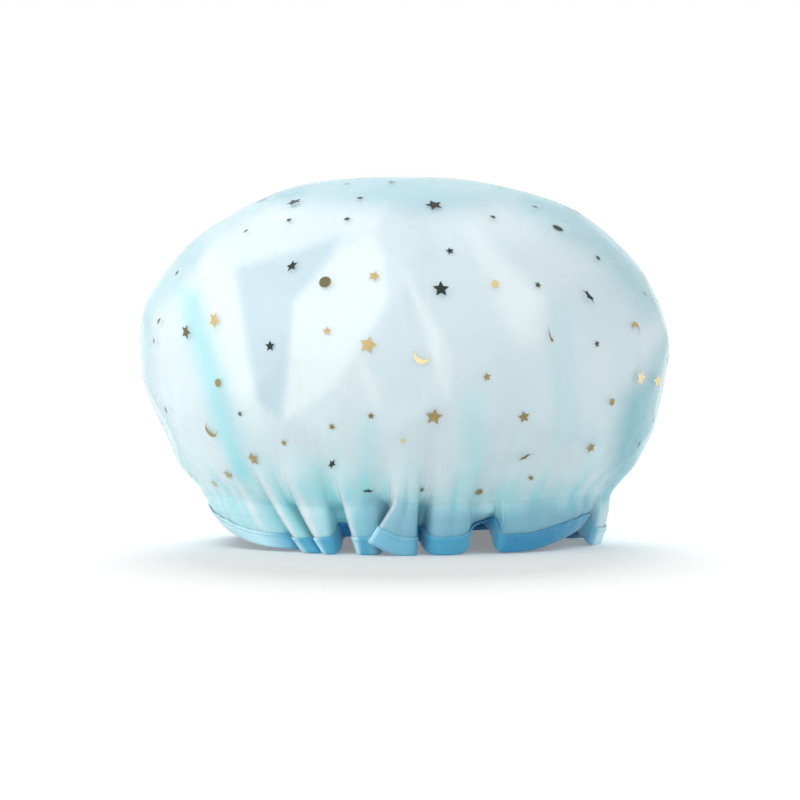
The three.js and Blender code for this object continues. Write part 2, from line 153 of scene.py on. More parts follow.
def straight_out(points):
    return unit(points * np.array([1.0, 1.0, 0.0]))


def polar(angle, radius, height):
    turn = np.radians(angle)
    return np.stack([radius * np.sin(turn), -radius * np.cos(turn), height + 0.0 * radius], axis=-1)


def run_along(points):
    """Length of a line of points up to each of them."""
    steps = np.linalg.norm(np.diff(points, axis=0), axis=-1)
    return np.concatenate([np.zeros_like(steps[:1]), np.cumsum(steps, axis=0)])


def blur_round(values, width):
    """Blur of a closed row of values, with a width in samples."""
    waves = np.fft.rfftfreq(len(values))
    return np.fft.irfft(np.fft.rfft(values) * np.exp(-2.0 * (math.pi * waves * width) ** 2), len(values))


def curve_through(points, per_span, closed):
    """Points of a smooth curve through control points."""
    points = np.asarray(points, float)
    if closed:
        chain = np.vstack([points[-1:], points, points[:2]])
    else:
        chain = np.vstack([2 * points[0] - points[1], points, 2 * points[-1] - points[-2]])
    share = np.linspace(0.0, 1.0, per_span, endpoint=False)[:, None]
    h00 = 2 * share**3 - 3 * share**2 + 1
    h10 = share**3 - 2 * share**2 + share
    h01 = 3 * share**2 - 2 * share**3
    h11 = share**3 - share**2
    rows = []
    for i in range(len(chain) - 3):
        before, start, end, after = chain[i:i + 4]
        gaps = np.maximum(np.linalg.norm(np.diff(chain[i:i + 4], axis=0), axis=1), 1e-6) ** 0.5
        leave = (end - start) - gaps[1] * ((end - before) / (gaps[0] + gaps[1]) - (start - before) / gaps[0])
        reach = (end - start) - gaps[1] * ((after - start) / (gaps[1] + gaps[2]) - (after - end) / gaps[2])
        rows.append(h00 * start + h10 * leave + h01 * end + h11 * reach)
    if not closed:
        rows.append(points[-1:])
    return np.concatenate(rows)


def even_spacing(curve, count, closed):
    ring = np.concatenate([curve, curve[:1]]) if closed else curve
    run = run_along(ring)
    places = np.linspace(0.0, run[-1], count, endpoint=not closed)
    return np.stack([np.interp(places, run, ring[:, k]) for k in range(ring.shape[1])], axis=-1)


# The camera of the photograph
CAMERA_RIGHT = np.array([1.0, 0.0, 0.0])
CAMERA_FORWARD = np.array([0.0, math.cos(CAMERA_ELEVATION), -math.sin(CAMERA_ELEVATION)])
CAMERA_UP = np.cross(CAMERA_RIGHT, CAMERA_FORWARD)
foot_off = (FOOT_PIXEL - PHOTO_SIZE / 2) * MM_PER_PIXEL
camera_target = np.array([-foot_off[0], 0.0, foot_off[1] / math.cos(CAMERA_ELEVATION)])
CAMERA_PLACE = camera_target - CAMERA_FORWARD * CAMERA_DISTANCE
FOCAL_PIXELS = CAMERA_DISTANCE / MM_PER_PIXEL


def to_photo(points):
    away = points - CAMERA_PLACE
    depth = away @ CAMERA_FORWARD
    across = PHOTO_SIZE / 2 + FOCAL_PIXELS * (away @ CAMERA_RIGHT) / depth
    down = PHOTO_SIZE / 2 - FOCAL_PIXELS * (away @ CAMERA_UP) / depth
    return np.stack([across, down], axis=-1)


def hit_from_camera(tree, pixel):
    """Where the view through a pixel meets a surface, and the surface's normal there."""
    across = (pixel[0] - PHOTO_SIZE / 2) / FOCAL_PIXELS
    down = (pixel[1] - PHOTO_SIZE / 2) / FOCAL_PIXELS
    ray = unit(CAMERA_FORWARD + across * CAMERA_RIGHT - down * CAMERA_UP)
    return tree.ray_cast(Vector(CAMERA_PLACE), Vector(ray))[:2]


# The hem and the gathers above it
def hem_controls():
    """Control points of the hem, each with the point of the gathers above it."""
    controls = [list(point) for point in FRONT_HEM]
    width = (BACK_TO - BACK_FROM) / BACK_PLEATS
    for i in range(BACK_PLEATS):
        start = BACK_FROM + i * width + rng.uniform(-BACK_WANDER, BACK_WANDER)
        swell = rng.uniform(*BACK_SWELL)
        lift = BACK_RISE * smooth(start, *BACK_RISE_ANGLES)
        for share, radius, height, top_share, top_radius in BACK_PLEAT:
            out = radius + swell * (radius > RIDGE_RADIUS)
            low = [start + share * width, out, height + lift]
            controls.append(low + [start + top_share * width, top_radius])
    angle, radius, height, top_angle, top_radius = np.array(controls).T
    return np.hstack([polar(angle, radius, height), polar(top_angle, top_radius, GATHER_HEIGHT)])


lines = even_spacing(curve_through(hem_controls(), HEM_STEPS, True), COLUMNS, True)
hem = lines[:, :3]
hem[:, 2] = np.maximum(hem[:, 2], 0.0)
COLUMN_STEP = np.linalg.norm(hem - np.roll(hem, 1, axis=0), axis=1).mean()
start_angle = FRONT_HEM[0][0]


def angles_of(points):
    turn = np.degrees(np.unwrap(np.arctan2(points[:, 0], -points[:, 1])))
    return turn + start_angle - turn[0]


def rising(turn):
    """Angles that never turn back, once round."""
    least = 0.02
    steps = np.maximum(np.diff(np.append(turn, turn[0] + 360.0)), least)
    steps *= 360.0 / steps.sum()
    return turn[0] + np.concatenate([[0.0], np.cumsum(steps)[:-1]])


hem_angle = angles_of(hem)
hem_radius = np.hypot(hem[:, 0], hem[:, 1])
gather_angle = rising(angles_of(lines[:, 3:]))

# Fields round the cap are kept on even angles
FIELD = 1440
field_angle = start_angle + 360.0 * np.arange(FIELD) / FIELD


def on_columns(field):
    return np.interp((gather_angle - start_angle) % 360.0 + start_angle, field_angle, field, period=360.0)


def round_noise(waves, seed):
    """Soft random values round the cap with about so many waves, mean 0 and spread 1."""
    values = blur_round(np.random.default_rng(seed).normal(size=FIELD), FIELD / waves / 4.0)
    return (values - values.mean()) / values.std()


def tucks():
    """Fine creases of the gathers, standing out between thin valleys."""
    uneven = 0.35
    phase = np.cumsum(1.0 + uneven * round_noise(30, seed=3))
    phase *= 2 * math.pi * TUCKS / phase[-1]
    return np.abs(np.sin(phase / 2)) ** 0.7 * (1.0 + uneven * round_noise(24, seed=5))


tuck_height = on_columns(tucks())
streaks = np.clip(on_columns(round_noise(70, seed=11)), -1.5, 1.5)
gather_radius = np.hypot(lines[:, 3], lines[:, 4]) + TUCK_DEPTH * tuck_height
ridge_wave = blur_round(smooth(gather_radius, RIDGE_RADIUS, RIDGE_RADIUS + 7.0), 3.0)
waver = GATHER_WAVER * on_columns(round_noise(18, seed=13))
gather_height = GATHER_HEIGHT + GATHER_WAVE * (ridge_wave - 0.75) + waver
gather_depth = np.interp(field_angle, gather_angle, gather_radius, period=360.0) - VALLEY_RADIUS


# The film, row by row from the crown to the hem
def plan_radius(radius):
    turn = np.radians(field_angle)
    return radius / np.sqrt(np.sin(turn) ** 2 + (np.cos(turn) / DEPTH_SHARE) ** 2)


def base_rows():
    """Film rows from the crown's first ring to the end of the flank."""
    crown = even_spacing(curve_through(CROWN_OUTLINE, OUTLINE_STEPS, False), CROWN_ROWS + 1, False)
    flank = even_spacing(curve_through(FLANK_OUTLINE, OUTLINE_STEPS, False), FLANK_ROWS + 1, False)
    folds = gather_depth - gather_depth.mean()
    soft_folds = blur_round(folds, FOLD_BLUR)
    folds_from, folds_to = 125.0, 78.0
    rows = []
    for radius, height in crown[1:]:
        lower = smooth(height, folds_from, folds_to)
        rows.append((plan_radius(radius) + FOLD_START * lower * soft_folds, height))
    for i, (radius, height) in enumerate(flank[1:], 1):
        drop = FOLD_REACH * i / FLANK_ROWS
        width = 1.0 + (FOLD_BLUR - 1.0) * (1.0 - drop) ** 1.2
        strength = FOLD_START + (1.0 - FOLD_START) * drop**2.2
        rows.append((plan_radius(radius) + strength * blur_round(folds, width), height))
    across = np.sin(np.radians(field_angle))
    for i, (radius, height) in enumerate(rows):
        for side, amount, middle, reach in SIDE_SWELLS:
            near = math.exp(-(((height - middle) / reach) ** 2))
            radius = radius + amount * np.clip(side * across, 0.0, 1.0) ** 2 * near
        rows[i] = polar(gather_angle, on_columns(radius), height)
    return rows


def skirt_rows(last):
    """Film rows from the end of the flank, drawn in to each column's own place on the elastic."""
    start = np.stack([np.hypot(last[:, 0], last[:, 1]), last[:, 2]], axis=-1)
    end = np.stack([gather_radius, gather_height], axis=-1)
    ridge = smooth(gather_radius, RIDGE_RADIUS, RIDGE_RADIUS + 6.0)[:, None]
    reach = np.linalg.norm(end - start, axis=1, keepdims=True) / 3.0
    leave = start + reach * FLANK_END
    arrive = end - reach * (VALLEY_END + ridge * (RIDGE_END - VALLEY_END))
    rows = []
    for i in range(1, SKIRT_ROWS + 1):
        share = i / SKIRT_ROWS
        rest = 1.0 - share
        place = rest**3 * start + 3 * rest**2 * share * leave + 3 * rest * share**2 * arrive + share**3 * end
        rows.append(polar(gather_angle, place[:, 0], place[:, 1]))
    return rows


def lower_rows():
    """Film rows from the upper seam to the hem."""
    top = polar(gather_angle, gather_radius, gather_height)
    most = 0.7
    seam_share = np.clip((gather_height - SEAM_LOW) / (gather_height - hem[:, 2]), 0.0, most)[:, None]
    middle = top + seam_share * (hem - top)
    reach = np.hypot(middle[:, 0], middle[:, 1])
    middle[:, :2] *= (np.maximum(reach, VALLEY_RADIUS + 0.3) / reach)[:, None]
    outwards = straight_out(hem)
    curl_at, curl = np.array(CURL).T
    bulge = (FRILL_PUFF * smooth(hem_radius, 70.0, 80.0) + np.interp(hem_angle, curl_at, curl))[:, None]
    rows = []
    stretches = ((top, middle, 0.0, seam_share, CHANNEL_ROWS), (middle, hem, seam_share, 1.0, FRILL_ROWS))
    for high, low, way_from, way_to, count in stretches:
        for i in range(1, count + 1):
            share = i / count
            way = way_from + (way_to - way_from) * share
            rows.append(high + (low - high) * share + bulge * np.sin(math.pi * way) * outwards)
    return rows


def round_crease(points, row, reach, passes):
    """Rounds the crease along a row, over some rows above and below it."""
    first, last = row - reach, row + reach + 1
    for _ in range(passes):
        beside = points[first - 1:last - 1] + points[first + 1:last + 1]
        points[first:last] = 0.5 * points[first:last] + 0.25 * beside


upper = base_rows()
film_points = np.array(upper + skirt_rows(upper[-1]) + lower_rows())
apex = np.array([0.0, 0.0, CROWN_OUTLINE[0][1]])
ROWS = len(film_points)
SEAM_ROW = CROWN_ROWS + FLANK_ROWS + SKIRT_ROWS - 1
CHANNEL_ROW = SEAM_ROW + CHANNEL_ROWS
DOME = slice(0, SEAM_ROW + 1)  # rows from the crown to the upper seam
round_crease(film_points, SEAM_ROW, reach=4, passes=8)


def normals_of(points):
    down = np.gradient(points, axis=0)
    along = np.roll(points, -1, axis=1) - np.roll(points, 1, axis=1)
    normal = np.cross(down, along)
    return normal / np.maximum(np.linalg.norm(normal, axis=-1, keepdims=True), 1e-9)


# Faces between closed rows of points
def ring_faces(rows, columns, first=0):
    faces = []
    for start in range(first, first + (rows - 1) * columns, columns):
        for j in range(columns):
            k = (j + 1) % columns
            faces.append((start + j, start + columns + j, start + columns + k, start + k))
    return faces


def turned_over(faces):
    return [face[:1] + face[:0:-1] for face in faces]


def tree_of(points):
    rows, columns = points.shape[:2]
    faces = turned_over(ring_faces(rows, columns))
    return BVHTree.FromPolygons([Vector(p) for p in points.reshape(-1, 3)], faces)


# Crinkles: flat facets between creases, as film has over loose filling
FACET_CENTRE = np.array([0.0, 0.0, 70.0])
FACET_SPACING = 30.0
FACET_RISE = 0.8
FACET_SPREAD = 1.3
SCATTER_TRIES = 4000
# Corners of the facets at the front, as pixels of the photograph
FRONT_CREASES = [
    (371, 236), (341, 254), (309, 290), (292, 303), (290, 344), (285, 420), (309, 404), (335, 385),
    (356, 352), (232, 265), (240, 330), (252, 400), (300, 250), (400, 300), (440, 345), (452, 330),
    (445, 400), (420, 250), (500, 250), (520, 330), (548, 298), (549, 420), (600, 330), (610, 250),
    (560, 230), (480, 420), (395, 430), (330, 440), (195, 300), (215, 390), (235, 470), (165, 340),
    (180, 420), (640, 330), (625, 420), (585, 440), (460, 195), (390, 205), (330, 200), (270, 225),
    (215, 255), (600, 480), (520, 450),
]


def facet_mesh():
    film_tree = tree_of(film_points)
    corners = []
    for pixel in FRONT_CREASES:
        hit, _ = hit_from_camera(film_tree, pixel)
        if hit:
            corners.append(np.array(hit))
    flat = film_points[4:SEAM_ROW - 4].reshape(-1, 3)
    for index in rng.permutation(len(flat))[:SCATTER_TRIES]:
        if np.linalg.norm(np.array(corners) - flat[index], axis=1).min() > FACET_SPACING:
            corners.append(flat[index])
    away = np.array(corners) - FACET_CENTRE
    rise = FACET_RISE + rng.uniform(-FACET_SPREAD, FACET_SPREAD, len(corners))
    reach = 1.0 + rise[:, None] / np.linalg.norm(away, axis=1, keepdims=True)
    shell = bmesh.new()
    for place in [*unit(away), (0, 0, -1)]:
        shell.verts.new(Vector(place))
    shell.verts.index_update()
    bmesh.ops.convex_hull(shell, input=shell.verts)
    shell.verts.index_update()
    faces = [[v.index for v in face.verts] for face in shell.faces]
    shell.free()
    places = np.vstack([FACET_CENTRE + away * reach, np.zeros(3)])
    return BVHTree.FromPolygons([Vector(p) for p in places], faces), len(faces)


def facet_fields():
    """How far the facets lie from the smooth film, along rays from the middle, and a random tone of each."""
    tree, count = facet_mesh()
    tones = rng.uniform(-1.0, 1.0, count)
    rays = film_points[DOME] - FACET_CENTRE
    lengths = np.linalg.norm(rays, axis=-1)
    shift = np.zeros_like(lengths)
    tone = np.zeros_like(lengths)
    centre = Vector(FACET_CENTRE)
    for i in range(len(rays)):
        for j, ray in enumerate(rays[i].tolist()):
            _, _, index, distance = tree.ray_cast(centre, ray)
            if distance is not None:
                shift[i, j] = distance - lengths[i, j]
                tone[i, j] = tones[index]
    return shift, tone


def soften(field, passes):
    """Rounds a field over the film, by about the same length along rows and columns."""
    for _ in range(passes):
        field = 0.5 * field + 0.25 * (np.roll(field, 1, axis=1) + np.roll(field, -1, axis=1))
        padded = np.pad(field, ((1, 1), (0, 0)), mode="edge")
        field = 0.5 * field + 0.25 * (padded[:-2] + padded[2:])
    return field


FILM_CRINKLE = 0.6  # how far the film follows the facets of the filling
FILM_SOFTNESS = 7  # and how much it rounds them
LINING_SOFTNESS = 3
LINING_GAP = 0.45
LINING_SLACK = 0.4  # how much further it hangs back on the crown
LEAST_GAP = 0.35

facet_shift, facet_tone = facet_fields()
row_share = np.arange(SEAM_ROW + 1) / SEAM_ROW
facet_weight = (smooth(row_share, 0.0, 0.12) * smooth(row_share, 0.86, 0.64))[:, None]
film_shift = soften(facet_shift, FILM_SOFTNESS)
film = film_points.copy()
film[DOME] += (FILM_CRINKLE * facet_weight * film_shift)[..., None] * unit(film_points[DOME] - FACET_CENTRE)
film_normals = normals_of(film)
lining_gap = np.full((ROWS, COLUMNS), LINING_GAP)
crisper = facet_weight * (soften(facet_shift, LINING_SOFTNESS) - FILM_CRINKLE * film_shift)
lining_gap[DOME] += LINING_SLACK * smooth(row_share, 0.97, 0.7)[:, None] - np.clip(crisper, -1.8, 0.4)
calm_normals = np.stack([soften(film_normals[..., k], 6) for k in range(3)], axis=-1)
lining = film - np.maximum(lining_gap, LEAST_GAP)[..., None] * calm_normals


# Mesh making
def mesh_object(name, points, faces, material, attributes=None):
    mesh = bpy.data.meshes.new(name)
    mesh.from_pydata((np.asarray(points) * MM).tolist(), [], faces)
    for key, values in (attributes or {}).items():
        layer = mesh.attributes.new(key, "FLOAT", "POINT")
        layer.data.foreach_set("value", np.asarray(values, float).ravel())
    mesh.shade_smooth()
    mesh.materials.append(material)
    mesh.update()
    piece = bpy.data.objects.new(name, mesh)
    bpy.context.scene.collection.objects.link(piece)
    return piece


def sheet_object(name, top, grid, material, attributes):
    """A sheet with a closing fan at the crown."""
    rows, columns = grid.shape[:2]
    points = np.vstack([top[None], grid.reshape(-1, 3)])
    fan = [(0, 1 + j, 1 + (j + 1) % columns) for j in range(columns)]
    full = {key: np.concatenate([[field[0].mean()], field.ravel()]) for key, field in attributes.items()}
    return mesh_object(name, points, fan + ring_faces(rows, columns, 1), material, full)


# Materials
def srgb(red, green, blue):
    def linear(c):
        c /= 255.0
        return c / 12.92 if c <= 0.04045 else ((c + 0.055) / 1.055) ** 2.4
    return (linear(red), linear(green), linear(blue), 1.0)


class Graph:
    """Short ways to the nodes of a material or of the world."""

    def __init__(self, owner, shader):
        owner.use_nodes = True
        self.nodes = owner.node_tree.nodes
        self.links = owner.node_tree.links
        self.shader = self.nodes[shader]

    def join(self, value, target):
        if isinstance(value, bpy.types.NodeSocket):
            self.links.new(value, target)
        else:
            target.default_value = value

    def put(self, name, value):
        self.join(value, self.shader.inputs[name])

    def node(self, kind, inputs=()):
        """A new node, with values or sockets for its inputs."""
        node = self.nodes.new("ShaderNode" + kind)
        for key, value in dict(inputs).items():
            self.join(value, node.inputs[key])
        return node

    def attribute(self, name):
        node = self.node("Attribute")
        node.attribute_name = name
        return node.outputs["Fac"]

    def mix(self, factor, low, high):
        """Two colours, mixed by a socket."""
        node = self.node("Mix", {"Factor": factor})
        node.data_type = "RGBA"
        for name, colour in (("A", low), ("B", high)):
            self.join(colour, next(s for s in node.inputs if s.name == name and s.type == "RGBA"))
        return next(s for s in node.outputs if s.type == "RGBA")

    def tint(self, name, plain, colour):
        """A colour over a plain one, as far as an attribute of the mesh says."""
        return self.mix(self.attribute(name), plain, colour)

    def noise(self, scale, detail, vector=None):
        if vector is None:
            vector = self.node("TexCoord").outputs["Object"]
        return self.node("TexNoise", {"Scale": scale, "Detail": detail, "Vector": vector}).outputs["Fac"]

    def remap(self, value, low, high):
        return self.node("MapRange", {"Value": value, "To Min": low, "To Max": high}).outputs["Result"]

    def bump(self, height, strength, distance):
        node = self.node("Bump", {"Strength": strength, "Distance": distance, "Height": height})
        self.put("Normal", node.outputs["Normal"])

    def larger(self, first, second):
        node = self.node("Math", {0: first, 1: second})
        node.operation = "MAXIMUM"
        return node.outputs["Value"]


def film_look(look):
    aqua = look.tint("aqua", srgb(226, 249, 252), srgb(154, 246, 254))
    # Painted shade: a darker aqua on the rims, where the film is seen edge-on
    painted_rim_shade = look.tint("painted_rim_shade", aqua, srgb(126, 204, 217))
    # Painted shade: a greyer blue on the frill right of the middle
    painted_frill_shade = look.tint("painted_frill_shade", painted_rim_shade, srgb(140, 202, 223))
    # Painted light: near white on the pleats' lit flanks and on the right tip
    look.put("Base Color", look.tint("painted_light", painted_frill_shade, srgb(250, 253, 254)))
    look.put("Alpha", look.attribute("veil"))
    look.put("Roughness", look.remap(look.noise(60.0, 3.0), 0.22, 0.36))
    look.put("IOR", 1.48)
    look.put("Specular IOR Level", 0.3)
    look.bump(look.noise(220.0, 2.0), 0.12, 0.0006)


def lining_look(look):
    # The tone holds random facet tones, painted light and shade on the crown's facets, painted light at the
    # gathers and painted shade on the frill
    plain = look.tint("tone", srgb(197, 217, 229), srgb(252, 254, 255))
    look.put("Base Color", look.tint("tint", plain, srgb(148, 222, 240)))
    look.put("Roughness", look.remap(look.noise(90.0, 3.0), 0.4, 0.6))
    look.bump(look.noise(160.0, 3.0), 0.15, 0.0006)


def satin_look(look):
    uv = look.node("UVMap")
    uv.uv_map = "weave"
    stretch = look.node("Mapping", {"Scale": (0.35, 6.0, 1.0), "Vector": uv.outputs["UV"]})
    threads = look.noise(1.0, 4.0, stretch.outputs["Vector"])
    plain = look.mix(threads, srgb(52, 154, 196), srgb(100, 192, 224))
    # Painted light: pale satin where light falls on the left lobe, the right tip, a front pleat and the lit
    # flanks
    painted_satin_light = look.tint("painted_satin_light", plain, srgb(200, 244, 255))
    # Painted shade: a deep blue in the hem's folds and on the long wave
    look.put("Base Color", look.tint("painted_satin_shade", painted_satin_light, srgb(24, 136, 192)))
    look.put("Roughness", look.remap(threads, 0.28, 0.46))
    look.put("Sheen Weight", 0.5)
    look.put("Sheen Roughness", 0.35)
    look.put("Anisotropic", 0.6)
    look.bump(threads, 0.25, 0.0002)


def foil_look(look):
    grain = look.noise(900.0, 2.0)
    gold = look.mix(grain, srgb(198, 166, 104), srgb(230, 206, 144))
    # Painted reflections: dark where the foil mirrors dark surroundings, up to gold
    painted_dark_reflection = look.mix(grain, srgb(24, 38, 36), srgb(60, 68, 56))
    plain = look.tint("tone", painted_dark_reflection, gold)
    # Painted highlight: a pale glint on the brightest motifs
    look.put("Base Color", look.tint("glint", plain, srgb(246, 230, 176)))
    look.put("Metallic", 0.75)
    look.put("Roughness", look.remap(grain, 0.26, 0.4))
    look.bump(grain, 0.1, 0.0001)


def fibre_look(look, scale, low, high, roughness, sheen, strength, distance):
    fibres = look.noise(scale, 2.0)
    look.put("Base Color", look.mix(fibres, low, high))
    look.put("Roughness", roughness)
    look.put("Sheen Weight", sheen)
    look.bump(fibres, strength, distance)


def thread_look(look):
    fibre_look(look, 2500.0, srgb(110, 180, 204), srgb(130, 194, 214), 0.5, 0.3, 0.4, 0.0001)


def elastic_look(look):
    fibre_look(look, 1600.0, srgb(222, 232, 236), srgb(246, 249, 250), 0.8, 0.2, 0.5, 0.0002)


def material_of(name, make_look):
    material = bpy.data.materials.new(name)
    make_look(Graph(material, "Principled BSDF"))
    return material


FILM = material_of("printed_film", film_look)
LINING = material_of("lining_film", lining_look)
SATIN = material_of("satin", satin_look)
FOIL = material_of("foil", foil_look)
THREAD = material_of("thread", thread_look)
ELASTIC = material_of("elastic", elastic_look)

# Painted light and shade on the facets of the filled crown, from the photograph: corners of each patch, tone
# added and softness in pixels
PAINTED_LIGHT_AND_SHADE_PATCHES = [
    ([(371, 236), (341, 254), (309, 290), (294, 301), (291, 344), (285, 420), (309, 404), (335, 385),
      (360, 345), (388, 300), (384, 256)],
     0.34, 4.5),
    ([(232, 268), (300, 250), (340, 236), (330, 256), (294, 301), (289, 350), (280, 420), (256, 400),
      (244, 330)],
     -0.6, 6.0),
    ([(200, 250), (236, 258), (246, 330), (262, 430), (236, 420), (205, 330)], 0.24, 7.0),
    ([(400, 200), (650, 250), (668, 360), (640, 470), (430, 480), (380, 330)], -0.17, 40.0),
    ([(405, 272), (452, 352), (448, 400), (436, 368)], 0.42, 6.0),
    ([(470, 230), (545, 300), (540, 345), (520, 345), (490, 290)], 0.36, 13.0),
    ([(548, 296), (600, 270), (645, 310), (636, 430), (590, 445), (552, 440)], -0.14, 5.0),
    ([(356, 352), (366, 366), (378, 398), (373, 404), (361, 374)], 0.24, 3.5),
    ([(184, 264), (204, 240), (207, 250), (195, 274)], -0.3, 5.0),
    ([(445, 400), (470, 420), (486, 470), (452, 470), (440, 440)], 0.12, 6.0),
    ([(380, 215), (425, 212), (440, 262), (405, 270), (385, 250)], -0.12, 6.0),
    ([(400, 275), (432, 330), (420, 400), (384, 400), (366, 350), (388, 305)], -0.1, 5.0),
    ([(497, 350), (540, 380), (538, 440), (500, 436)], -0.1, 7.0),
    ([(575, 330), (612, 350), (606, 430), (578, 420)], 0.14, 6.0),
    ([(262, 190), (330, 165), (500, 165), (560, 185), (640, 240), (600, 255), (520, 212), (430, 216),
      (350, 206)],
     -0.22, 12.0),
]
# Places where the film stands off the lining and shows its own colour
AQUA_PATCHES = [
    ([(176, 285), (196, 292), (222, 370), (246, 450), (262, 490), (236, 480), (214, 430), (190, 350)],
     0.22, 12.0),
    ([(552, 300), (566, 300), (592, 450), (558, 440)], 0.06, 16.0),
    ([(462, 404), (480, 390), (490, 470), (464, 488)], 0.13, 18.0),
    ([(364, 420), (376, 425), (374, 492), (350, 492)], 0.13, 13.0),
    ([(300, 452), (326, 466), (330, 500), (290, 500)], 0.12, 14.0),
]
# Painted shade: a darker aqua on the rims, where the film is seen along its surface
PAINTED_RIM_SHADE_PATCHES = [
    ([(140, 310), (186, 232), (262, 188), (300, 190), (212, 236), (160, 305)], 0.13, 11.0),
    ([(136, 310), (152, 310), (150, 390), (196, 480), (184, 482), (140, 400)], 0.13, 8.0),
    ([(262, 192), (330, 168), (500, 168), (505, 200), (430, 212), (350, 202), (290, 204)], 0.15, 14.0),
    ([(500, 176), (560, 190), (630, 240), (676, 320), (648, 318), (596, 250), (520, 208)], 0.2, 20.0),
    ([(668, 340), (640, 470), (605, 500), (628, 400), (648, 380)], 0.34, 18.0),
]


def patch_mask(pixels, corners, softness):
    """1 inside a patch, 0 outside, with a soft edge."""
    corners = np.array(corners, float)
    inside = np.zeros(len(pixels), bool)
    nearest = np.full(len(pixels), np.inf)
    for start, end in zip(corners, np.roll(corners, -1, axis=0)):
        edge = end - start
        along = np.clip(((pixels - start) @ edge) / (edge @ edge), 0.0, 1.0)
        nearest = np.minimum(nearest, np.linalg.norm(pixels - start - along[:, None] * edge, axis=1))
        crosses = (start[1] > pixels[:, 1]) != (end[1] > pixels[:, 1])
        reach = start[0] + (pixels[:, 1] - start[1]) / (edge[1] if edge[1] else 1e-9) * edge[0]
        inside ^= crosses & (pixels[:, 0] < reach)
    return smooth(np.where(inside, nearest, -nearest), -softness, softness)


def front_patches(points, normals, patches):
    """Sum of the patches on a sheet, where it faces the camera."""
    pixels = to_photo(points.reshape(-1, 3))
    facing = smooth((normals * unit(CAMERA_PLACE - points)).sum(-1), -0.6, 0.05)
    total = sum(amount * patch_mask(pixels, corners, softness) for corners, amount, softness in patches)
    return facing * total.reshape(facing.shape)


# Parts of the frill, by the angle at the hem
lobe = smooth(hem_angle, -38.0, -48.0)
# The right tip, where painted light falls
lit_right_tip = smooth(hem_angle, 67.0, 72.0) * smooth(hem_angle, 104.0, 96.0)
# Right of the middle of the frill, where painted shade falls
shaded_right_of_middle = smooth(hem_angle, -18.0, -8.0)
# The left lobe, where painted light falls on the satin
lit_left_lobe = smooth(hem_angle, -34.0, -46.0) * smooth(hem_angle, -150.0, -92.0)
# The left side, where painted light falls on the lining
lit_left_side = smooth(hem_angle, -30.0, -60.0) * smooth(hem_angle, -130.0, -110.0)
# Painted light on the satin of a front pleat
lit_front_pleat = 0.25 * smooth(hem_angle, -11.0, -9.0) * smooth(hem_angle, 3.0, 1.0)
# Painted shade on the satin of the long wave
shaded_long_wave = 0.6 * smooth(hem_angle, 27.0, 29.0) * smooth(hem_angle, 64.0, 44.0)
sides = smooth(np.abs((gather_angle + 180.0) % 360.0 - 180.0), 60.0, 95.0)
# Painted light: paler film on the flanks of pleats that face the light on the left
painted_light = smooth(-film_normals[..., 0], 0.3, 0.75) * smooth(hem_angle, 3.0, -4.0) * (1.0 - 0.6 * lobe)


def down_rows(low, high):
    """0 on the crown and 1 below the upper seam, with a ramp between two shares of the way down to it."""
    share = np.ones((ROWS, 1))
    share[DOME, 0] = smooth(row_share, low, high)
    return share


# Tones of the lining, and how much they vary by facet, at the front and at the sides, and by streak
LINING_TONE = 0.72
FACET_TONE = 0.05
SIDE_FACET_TONE = 0.25
STREAK_TONE = 0.08
# How much of its own colour the film shows where it hangs, is drawn in, and in valleys, creases and so on;
# in the creases between the tucks this is partly painted shade
HANG_AQUA = 0.04
DRAWN_AQUA = 0.08
VALLEY_AQUA = 0.12
CREASE_AQUA_AND_SHADE = 0.1
STREAK_AQUA = 0.055
FRILL_AQUA = 0.14
FACET_AQUA = 0.16
FILM_VEIL = 0.3  # how much the film covers what is behind it
MOST_VEIL = 0.85
FULL_AQUA = 0.3
# how much painted rim shade gives its full colour
FULL_RIM_SHADE = 0.26


def lining_tone():
    tone = np.full((ROWS, COLUMNS), LINING_TONE)
    tone[DOME] += (FACET_TONE + SIDE_FACET_TONE * sides) * soften(facet_tone, 10) * facet_weight
    tone[DOME] += STREAK_TONE * streaks * smooth(row_share, 0.35, 0.75)[:, None]
    # Painted light: the lining whitens towards the gathers, as if lit through the film
    tone += (1.0 - LINING_TONE) * down_rows(0.75, 0.95)
    # Painted shade: the lining darkens down the frill right of the middle
    tone[SEAM_ROW:] -= np.linspace(0.1, 0.7, ROWS - SEAM_ROW)[:, None] * shaded_right_of_middle
    # Painted light and shade on the crown's facets
    return np.clip(tone + front_patches(lining, normals_of(lining), PAINTED_LIGHT_AND_SHADE_PATCHES), 0.0, 1.0)


def lining_tint():
    """How far the blue of the satin's inner leg shows through the lining, less where painted light falls on
    the lit flanks and the left side.
    """
    tint = np.ones((ROWS, COLUMNS))
    tint[DOME] = 0.3 * smooth(row_share, 0.86, 1.0)[:, None]
    tint[SEAM_ROW:] = np.linspace(0.3, 0.9, ROWS - SEAM_ROW)[:, None]
    # Less of the satin's blue where painted light falls
    return tint * (1.0 - 0.85 * painted_light) * (1.0 - 0.4 * lit_left_side)


